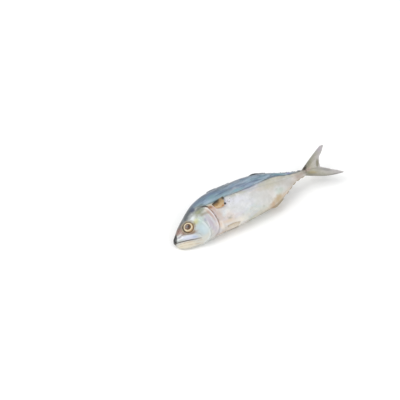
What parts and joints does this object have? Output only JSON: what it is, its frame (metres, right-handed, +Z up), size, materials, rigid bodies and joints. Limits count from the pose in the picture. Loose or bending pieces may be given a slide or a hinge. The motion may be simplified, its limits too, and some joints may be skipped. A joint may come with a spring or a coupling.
{
  "type": "mackerel",
  "caption": "Whole raw mackerel lying on its side: blue-grey back, silver flank, forked tail, folded fins and small finlets along the tail stalk.",
  "frame": {"origin": "under the middle of the fish's bounding box, on the surface that it lies on", "axes": "+X from the snout to the tail, +Y towards the fish's back, +Z up, with the fish's left side on top"},
  "size_m": [0.2498, 0.0654, 0.0392],
  "materials": {
    "skin": "satin",
    "eye": "gloss",
    "tail_fin": "satin",
    "back_fin": "satin",
    "belly_fin": "satin",
    "pectoral_fin": "satin"
  },
  "bodies": {
    "root": {"body": "skin", "left_eye": "eye", "right_eye": "eye", "left_pectoral_fin": "pectoral_fin", "right_pectoral_fin": "pectoral_fin", "left_pelvic_fin": "belly_fin", "right_pelvic_fin": "belly_fin", "first_dorsal_fin": "back_fin", "second_dorsal_fin": "back_fin", "anal_fin": "belly_fin", "dorsal_finlet_1": "back_fin", "dorsal_finlet_2": "back_fin", "dorsal_finlet_3": "back_fin", "dorsal_finlet_4": "back_fin", "dorsal_finlet_5": "back_fin", "anal_finlet_1": "belly_fin", "anal_finlet_2": "belly_fin", "anal_finlet_3": "belly_fin", "anal_finlet_4": "belly_fin", "anal_finlet_5": "belly_fin", "tail_fin": "tail_fin"}
  },
  "joints": []
}
